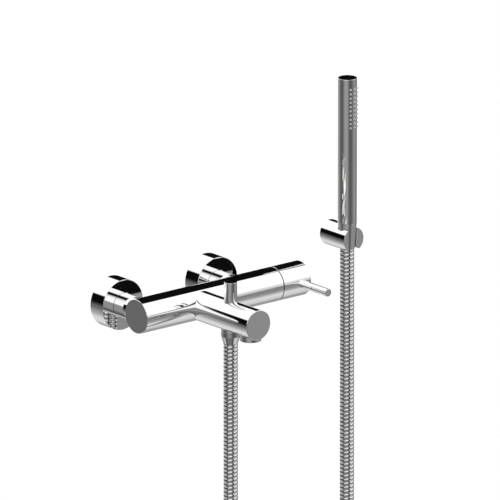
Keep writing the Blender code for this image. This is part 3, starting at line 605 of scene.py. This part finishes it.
def ribbed_tube(route, pitch, section, columns):
    """A closed tube whose ribs wind round its route like a screw thread.

    The section is one rib as (share of the pitch, radius), and a route point comes every step.
    """
    steps = np.linalg.norm(np.diff(route, axis=0), axis=1)
    travelled = np.concatenate([[0], np.cumsum(steps)])
    heading = np.gradient(route, travelled, axis=0)
    heading /= np.linalg.norm(heading, axis=1)[:, None]
    side = np.cross(heading[0], (0.3, 1.0, 0.2))
    sides = []
    for along in heading:
        side = side - along * (side @ along)
        side = side / np.linalg.norm(side)
        sides.append(side)
    sides = np.array(sides)
    length, rows = travelled[-1], len(section)
    turns = int(length / pitch) + 2
    row = np.arange(-2 * rows, turns * rows)[:, None]
    column = np.arange(columns)[None, :]
    shares, radii = np.array(section).T
    at = pitch * (row // rows + shares[row % rows] + column / columns)
    radius = np.where((at < 0) | (at > length), radii.min(), radii[row % rows] + 0 * column)
    at = np.clip(at, 0, length)
    angle = math.tau * column / columns + 0 * at

    def along_route(values):
        return np.stack([np.interp(at, travelled, values[:, axis]) for axis in range(3)], -1)

    centre, first, along = along_route(route), along_route(sides), along_route(heading)
    second = np.cross(along, first)
    around = first * np.cos(angle)[..., None] + second * np.sin(angle)[..., None]
    spots = centre + radius[..., None] * around
    count = len(row)
    number = np.arange(count * columns).reshape(count, columns)
    ahead = np.full((count, columns), -1)
    ahead[:, :-1] = number[:, 1:]
    ahead[:-rows, -1] = number[rows:, 0]
    quads = np.stack([number[:-1], ahead[:-1], ahead[1:], number[1:]], -1).reshape(-1, 4)
    quads = quads[(quads >= 0).all(1)]
    mesh = bpy.data.meshes.new("ribbed")
    mesh.from_pydata(spots.reshape(-1, 3).tolist(), [], quads.tolist())
    shape = bmesh.new()
    shape.from_mesh(mesh)
    bmesh.ops.remove_doubles(shape, verts=shape.verts, dist=0.0000005)
    loose = [vert for vert in shape.verts if not vert.link_faces]
    bmesh.ops.delete(shape, geom=loose, context="VERTS")
    bmesh.ops.holes_fill(shape, edges=[edge for edge in shape.edges if edge.is_boundary], sides=0)
    bmesh.ops.recalc_face_normals(shape, faces=shape.faces)
    shape.to_mesh(mesh)
    shape.free()
    mesh.shade_smooth()
    mesh.set_sharp_from_angle(angle=math.radians(75))
    return mesh


# ---------------------------------------------------------------- hose


def hose_points():
    """The hang from the spout's outlet, round a wide loop and up to the hand shower's cone."""
    start = Vector((0, DIVERTER_Y, 0))
    span = Vector((HOLDER_X, SHOWER_Y, 0)) - start
    width = span.length
    hang = [*HOSE_HANG, (width / 2, HOSE_LOWEST), *((width - a, z) for a, z in reversed(HOSE_HANG))]
    hang = [(0.0, HOSE_START), *hang, (width, -0.030), (width, HOSE_FINISH)]
    return [start + span * (along / width) + Vector((0, 0, height)) for along, height in hang]


def make_hose():
    """Wound metal hose: rounded beads with a narrow groove between them."""
    route = smooth_route(hose_points(), 600)
    groove, crest = HOSE_R - 0.0008, HOSE_R + 0.0006
    bead = ((0.0, 0.0), (0.06, 0.42), (0.16, 0.74), (0.33, 0.96), (0.5, 1.0), (0.67, 0.96), (0.84, 0.74),
            (0.94, 0.42))
    section = [(share, groove + (crest - groove) * height) for share, height in bead]
    ribbed = Solid(ribbed_tube(route, RIB_PITCH, section, 36))
    hose = show("shower_hose_ribbed", ribbed, "chrome", "shower_hose", coat="hose_chrome")
    hose.parent = None
    del hose["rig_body"]
    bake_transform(hose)


def make_hose_nut():
    """Round nut under the spout, narrowing to the hose."""
    outline = [(0.0103, -0.0218), (HOSE_BOSS_R, -0.0218, 0.0001), (HOSE_BOSS_R, -0.0268, 0.0012),
               (0.0090, -0.0360, 0.0002), (0.0084, -0.0360), (0.0084, -0.0303), (0.0093, -0.0303),
               (0.0103, -0.0268)]
    show("hose_nut_piece", turned(outline, (0, DIVERTER_Y, 0), UP), "chrome", "hose_nut", coat="hose_chrome")


# ---------------------------------------------------------------- body and wall connections


def make_body():
    """Barrel, spout and bosses as one casting, bored where its openings show."""
    axis, spout_axis = (0, BARREL_Y, 0), (0, 0, SPOUT_Z)
    barrel = turned([(0, BARREL_RIGHT), (BARREL_R, BARREL_RIGHT, EDGE), (BARREL_R, BARREL_LEFT, END_EDGE),
                     (0, BARREL_LEFT)], axis, RIGHT, LARGE)
    spout = turned([(0, SPOUT_END), (SPOUT_R, SPOUT_END, END_EDGE), (SPOUT_R, -BARREL_Y), (0, -BARREL_Y)],
                   spout_axis, OUT, LARGE, roll=0.01)
    hose_axis, aerator_axis = (0, DIVERTER_Y, 0), (0, AERATOR_Y, 0)
    hose_boss = turned([(0, SPOUT_Z), (HOSE_BOSS_R, SPOUT_Z), (HOSE_BOSS_R, HOSE_BOSS_BOTTOM, GAP),
                        (0, HOSE_BOSS_BOTTOM)], hose_axis, UP, SMALL, roll=0.02)
    aerator_boss = turned([(0, SPOUT_Z), (AERATOR_BOSS_R, SPOUT_Z), (AERATOR_BOSS_R, AERATOR_BOTTOM, EDGE),
                           (0, AERATOR_BOTTOM)], aerator_axis, UP, SMALL, roll=0.02)
    inlet = [(0, -BARREL_Y), (UNION_R, -BARREL_Y), (UNION_R, BOSS_START), (0.0098, BOSS_START),
             (0.0098, NIPPLE_END + 0.0020), (0.0125, NIPPLE_END + 0.0020), (0.0125, NIPPLE_END),
             (0, NIPPLE_END)]
    bosses = [turned(inlet, (x, 0, 0), OUT, SMALL, roll=INLET_ROLL) for x in INLETS.values()]
    bores = [rod(END_SEAT_R, BARREL_LEFT - 0.02, BARREL_LEFT + 0.003, axis, RIGHT, LARGE),
             rod(CARTRIDGE_BORE_R, WEB_RIGHT, BARREL_RIGHT + 0.01, axis, RIGHT, SMALL),
             rod(SPOUT_SEAT_R, SPOUT_END - SPOUT_SEAT_DEPTH, SPOUT_END + 0.01, spout_axis, OUT, LARGE),
             rod(KNOB_R + GAP, 0.0100, 0.0250, hose_axis, UP, SMALL),
             rod(0.0082, -0.0300, -0.0100, hose_axis, UP, SMALL),
             rod(0.0121, -0.0300, -0.0155, aerator_axis, UP, SMALL),
             rod(0.0090, -0.0200, -0.0080, aerator_axis, UP, SMALL)]
    bores += [rod(INLET_BORE_R, 0.0300, 0.0500, (x, 0, 0), OUT, SMALL) for x in INLETS.values()]
    body = cut(join(barrel, spout, hose_boss, aerator_boss, *bosses), *bores)
    show("body", body, "chrome", "body_casting")


def make_end_discs():
    """Flush discs at the barrel's left end and the spout's end, with hardly a seam round them."""
    left = -BARREL_LEFT
    radius = END_SEAT_R - SEAM
    disc = [(0, left), (radius, left), (radius, left - 0.0027), (0.0167, left - 0.0027),
            (0.0167, left - 0.0110), (0.0140, left - 0.0110), (0.0140, left - 0.0045), (0, left - 0.0045)]
    show("left_end_disc", turned(disc, (0, BARREL_Y, 0), LEFT, LARGE), "chrome", "left_end_cap")
    radius = SPOUT_SEAT_R - SEAM
    disc = [(0, SPOUT_END), (radius, SPOUT_END), (radius, SPOUT_END - 0.0022), (0, SPOUT_END - 0.0022)]
    show("spout_end_disc", turned(disc, (0, 0, SPOUT_Z), OUT, LARGE), "chrome", "spout_end_cap")


def make_wall_connection(side):
    """Escutcheon, union nut and the threaded eccentric union behind them."""
    place = (INLETS[side], 0, 0)
    radius, depth = half(f"escutcheon_{side}").x, -low(f"escutcheon_{side}").y
    hole = UNION_R + 0.00035
    shell = [(hole, depth), (radius, depth, EDGE), (radius, 0), (radius - SHEET, 0),
             (radius - SHEET, depth - SHEET, 0.0008), (hole, depth - SHEET)]
    show(f"escutcheon_{side}_cup", turned(shell, place, OUT, LARGE), "chrome", f"escutcheon_{side}")
    top = BOSS_START - TOUCH
    nut = [(0.0101, top), (UNION_R, top), (UNION_R, 0.0130, GAP), (0.0134, 0.0130), (0.0134, 0.0349),
           (0.0101, 0.0349)]
    sleeve = turned(nut, place, OUT, SMALL, roll=INLET_ROLL)
    show(f"union_nut_{side}_sleeve", sleeve, "chrome", f"union_nut_{side}")

    tail_place = Vector((INLETS[side], 0, TAIL_Z))
    tail_end = high(f"s_union_{side}").y
    head = [(0, 0.0300), (UNION_HEAD_R, 0.0300, EDGE), (UNION_HEAD_R, 0.0060, EDGE), (0, 0.0060)]
    union = turned(head, place, OUT, SMALL)
    core_r = TAIL_ROOT_R + SEAM
    tail = turned([(0, 0.0120), (core_r, 0.0120), (core_r, -tail_end, 0.0006), (0, -tail_end)],
                  tail_place, OUT, SMALL, roll=0.01)
    union = cut(join(union, tail), rod(0.0085, 0.0085, 0.0310, place, OUT, SMALL),
                rod(0.0065, -tail_end - 0.001, 0.0105, tail_place, OUT, SMALL))
    show(f"union_{side}_body", union, "brass", f"s_union_{side}")
    section = [(0.0, TAIL_ROOT_R), (0.4, TAIL_R - 0.0001), (0.5, TAIL_R), (0.6, TAIL_R - 0.0001)]
    route = np.array([tail_place + Vector((0, y, 0)) for y in np.linspace(-0.0055, tail_end - 0.0012, 40)])
    thread = Solid(ribbed_tube(route, TAIL_PITCH, section, 48))
    show(f"union_{side}_thread", thread, "brass", f"s_union_{side}")


# ---------------------------------------------------------------- handle and spout fittings


def make_handle():
    """Sleeve with the relief that lets it tilt, lever pin, grub screw and the dome in the gap."""
    axis, lever_place = (0, BARREL_Y, 0), (LEVER_X, BARREL_Y, 0)
    sleeve = turned([(0, HANDLE_RIGHT), (BARREL_R, HANDLE_RIGHT, EDGE), (BARREL_R, HANDLE_LEFT, EDGE),
                     (0.0193, HANDLE_LEFT), (0.0193, 0.1440), (0, 0.1440)], axis, RIGHT, LARGE)
    relief = 0.020
    along = Vector((math.cos(MAX_LIFT), -math.sin(MAX_LIFT), 0))
    relief_centre = Vector((HANDLE_LEFT, BARREL_Y, 0)) - along * relief / 2
    sleeve = cut(sleeve,
                 block((relief, 0.080, 0.060), relief_centre, -MAX_LIFT),
                 rod(0.0038, 0.1400, 0.1580, axis, RIGHT, SMALL),
                 rod(LEVER_R + SEAM, 0.0200, 0.0250, lever_place, OUT, SMALL),
                 rod(0.0033, 0.0085, 0.0210, lever_place, OUT),
                 rod(0.0023, 0.0, 0.0250, lever_place, DOWN))
    show("handle_sleeve_shell", sleeve, "chrome", "handle_sleeve")
    reach = BARREL_Y - low("handle_lever").y
    lever = turned([(0, reach), (LEVER_R, reach, 0.0005), (LEVER_R, 0.0203), (0.0030, 0.0203),
                    (0.0030, 0.0090), (0, 0.0090)], lever_place, OUT)
    show("handle_lever_pin", lever, "chrome", "handle_lever")
    make_grub_screw("handle_grub", "handle_grub_screw", lever_place, 0.0042, 0.0110)
    dome = sphere_zone(0.0190, 0.0175, 0.0102, 0.0148)
    show("cartridge_dome", turned(dome, (PIVOT_X, BARREL_Y, 0), RIGHT), "chrome", "handle_dome")


def sphere_zone(outer, inner, low_end, high_end):
    """Outline of a zone of a thick spherical shell, between two heights above its centre."""
    def bend(radius):
        start, finish_angle = math.asin(high_end / radius), math.asin(low_end / radius)
        far = radius / math.cos((start - finish_angle) / 2)
        half_way = (start + finish_angle) / 2
        ends = [(radius * math.cos(a), radius * math.sin(a)) for a in (start, finish_angle)]
        return ends[0], (far * math.cos(half_way), far * math.sin(half_way), radius * 0.999), ends[1]

    outside, inside = bend(outer), bend(inner)
    return [*outside, *reversed(inside)]


def make_grub_screw(name, node, place, low_end, high_end):
    """A small set screw with a hexagon socket, pointing down."""
    screw = turned([(0, high_end), (0.0020, high_end, 0.0003), (0.0020, low_end, 0.0003), (0, low_end)],
                   place, DOWN)
    screw = cut(screw, turned([(0, high_end + 0.001), (0.0011, high_end + 0.001), (0.0011, high_end - 0.0015),
                               (0, high_end - 0.0015)], place, DOWN, 6))
    show(name, screw, "steel", node)


def make_knob():
    """The diverter's knob on the spout, bored for its stem."""
    place = (0, DIVERTER_Y, 0)
    knob = turned([(0, KNOB_TOP), (KNOB_R, KNOB_TOP, EDGE), (KNOB_R, KNOB_BOTTOM, 0.0002),
                   (0.0025, KNOB_BOTTOM), (0.0025, 0.0340), (0, 0.0340)], place, UP)
    show("diverter_knob_cap", knob, "chrome", "diverter_knob")


def make_aerator():
    """Collar and its insert: fine ribs across a ring of openings."""
    place = (0, AERATOR_Y, 0)
    collar = turned([(0.0098, -0.0170), (0.0118, -0.0170), (0.0118, -0.0236, 0.0003),
                     (0.0088, -0.0236, 0.0003), (0.0088, -0.0228), (0.0098, -0.0228)], place, UP)
    show("aerator_collar", collar, "chrome", "aerator_housing")
    insert = turned([(0, -0.0172), (0.0095, -0.0172), (0.0095, -0.0225), (0, -0.0225)], place, UP)
    cells, cell = [], 0.0019
    opening = [(0, -0.0190), (cell * 0.46, -0.0190), (cell * 0.46, -0.0240), (0, -0.0240)]
    for row in range(-4, 5):
        for column in range(-4, 5):
            spot = Vector((cell * (column + (row % 2) / 2), cell * row * 0.866, 0))
            if spot.length < 0.0078:
                cells.append(turned(opening, spot + Vector(place), UP, 6, roll=math.radians(30)))
    show("aerator_grid", cut(insert, *cells), "grey_plastic", "aerator_insert")


# ---------------------------------------------------------------- hand shower and its holder


def make_hand_shower():
    """Cone nut, tube with its nozzle holes, and the top cap."""
    place = (HOLDER_X, SHOWER_Y, 0)
    cone = turned([(0.0096, CONE_TOP), (CONE_TOP_R, CONE_TOP, 0.00015), (CONE_BOTTOM_R, CONE_BOTTOM, 0.0004),
                   (0.0082, CONE_BOTTOM), (0.0082, 0.0150), (0.0064, 0.0150), (0.0064, 0.0262),
                   (0.0096, 0.0262)], place, UP, SMALL)
    show("cone_nut", cone, "chrome", "hose_cone_nut")
    bottom = CONE_TOP + GAP
    tube = turned([(0.0103, CAP_SEAM), (SHOWER_R, CAP_SEAM), (SHOWER_R, bottom, 0.00015), (0.0096, bottom),
                   (0.0096, 0.0600), (0.0103, 0.0600)], place, UP, LARGE)
    holes = [rod(NOZZLE_HOLE_R, 0.0090, 0.0130, spot, towards) for spot, towards in nozzle_places()]
    show("shower_tube", cut(tube, *holes), "chrome", "hand_shower_tube")
    seam = CAP_SEAM + SEAM
    cap = turned([(0, SHOWER_TOP), (SHOWER_R, SHOWER_TOP, 0.0005), (SHOWER_R, seam), (0.0100, seam),
                  (0.0100, seam - 0.0040), (0, seam - 0.0040)], place, UP, LARGE)
    show("shower_cap", cap, "chrome", "hand_shower_cap")


def nozzle_places():
    """Where each nozzle's line leaves the hand shower's axis, and its direction."""
    for number in range(NOZZLE_ROWS):
        for angle in NOZZLE_ANGLES:
            azimuth = SPRAY_AZIMUTH + angle
            spot = Vector((HOLDER_X, SHOWER_Y, NOZZLE_TOP - number * NOZZLE_PITCH))
            yield spot, Vector((math.cos(azimuth), math.sin(azimuth), 0))


def make_nozzles():
    """Silicone strip behind the tube's wall, with a soft nipple through each hole."""
    reach = 0.0133
    nipple = [(0, reach - 0.0009), (0.0004, reach - 0.0009), (0.0004, reach), (NOZZLE_TIP_R, reach, 0.0002),
              (NOZZLE_BASE_R, 0.0118, 0.0003), (NOZZLE_BASE_R, 0.0097), (0, 0.0097)]
    nipples = [turned(nipple, spot, towards, 24) for spot, towards in nozzle_places()]
    lowest = NOZZLE_TOP - NOZZLE_PITCH * (NOZZLE_ROWS - 1)
    margin, half_angle = 0.0040, math.radians(40)
    band = ring(0.0101, 0.0095, lowest - margin, NOZZLE_TOP + margin)
    strip = turned(band, (HOLDER_X, SHOWER_Y, 0), UP, SMALL)
    facing = Vector((math.cos(SPRAY_AZIMUTH), math.sin(SPRAY_AZIMUTH), 0))
    keep = 0.0101 * math.cos(half_angle)
    cutter = block((0.040, 0.040, 0.100), Vector((HOLDER_X, SHOWER_Y, (lowest + NOZZLE_TOP) / 2))
                   + facing * (keep - 0.020), SPRAY_AZIMUTH)
    strip = join(cut(strip, cutter), *nipples)
    show("nozzle_nipples", strip, "silicone", "nozzle_strip")


def make_holder():
    """Round holder with the conical seat and front slot for the hose cone."""
    place = (HOLDER_X, 0, HOLDER_Z)
    holder = turned([(0, HOLDER_LENGTH), (HOLDER_R, HOLDER_LENGTH, GAP), (HOLDER_R, 0), (0.0126, 0),
                     (0.0126, 0.0140), (0, 0.0140)], place, OUT, LARGE)
    slope = (CONE_TOP_R - CONE_BOTTOM_R) / (CONE_TOP - CONE_BOTTOM)
    clearance, reach = 0.00035, 0.0170
    low_r = CONE_BOTTOM_R + slope * (HOLDER_Z - reach - CONE_BOTTOM) + clearance
    high_r = CONE_BOTTOM_R + slope * (HOLDER_Z + reach - CONE_BOTTOM) + clearance
    seat = [(0, reach), (high_r, reach), (low_r, -reach), (0, -reach)]
    holder = cut(holder, turned(seat, (HOLDER_X, SHOWER_Y, HOLDER_Z), UP, SMALL, roll=0.02),
                 block((SLOT_WIDTH, 0.0200, 0.0400), (HOLDER_X, SHOWER_Y - 0.0100, HOLDER_Z)),
                 rod(0.0023, 0.0110, 0.0180, (HOLDER_X, -0.0060, HOLDER_Z), DOWN))
    show("holder", holder, "chrome", "holder_body")
    make_grub_screw("holder_grub", "holder_grub_screw", (HOLDER_X, -0.0060, HOLDER_Z), 0.0127, 0.0154)

    plate = turned([(0.0029, 0.0100), (0.0123, 0.0100, EDGE), (0.0123, 0.0), (0.0029, 0.0)], place, OUT)
    show("holder_mount", plate, "steel", "holder_bracket")


# ---------------------------------------------------------------- kept parts and assembly


KEPT = {
    "brass": ("hot_water_tube", "cold_water_tube", "cartridge_nut", "diverter_insert", "diverter_bonnet",
              "hose_outlet_nipple", "hose_ferrule_faucet", "hose_ferrule_shower", "hand_shower_inlet"),
    "steel": ("stem_pivot_pin", "cartridge_stem", "diverter_stem", "diverter_spring", "holder_screw"),
    "rubber": ("union_gasket_left", "union_gasket_right", "cartridge_seal", "diverter_seal", "aerator_seal",
               "hose_washer_faucet", "hose_washer_shower"),
    "plastic": ("cartridge_body", "cartridge_carrier", "hand_shower_liner"),
    "grey_plastic": ("check_valve_left", "check_valve_right", "flow_limiter"),
    "ceramic": ("ceramic_disc_fixed", "ceramic_disc_moving"),
}


def dress_kept_nodes():
    """Gives the inner CAD nodes that stay as they are their finishes."""
    for slot, nodes in KEPT.items():
        for node in nodes:
            item = frame["nodes"][node]
            item.data.materials.clear()
            item.data.materials.append(MATERIALS[slot])


make_camera()
make_materials()
make_hose_nut()
make_hose()
make_world()
make_floor()
make_body()
make_end_discs()
make_wall_connection("left")
make_wall_connection("right")
make_handle()
make_knob()
make_aerator()
make_hand_shower()
make_nozzles()
make_holder()
dress_kept_nodes()
bpy.context.scene.view_settings.view_transform = "Standard"
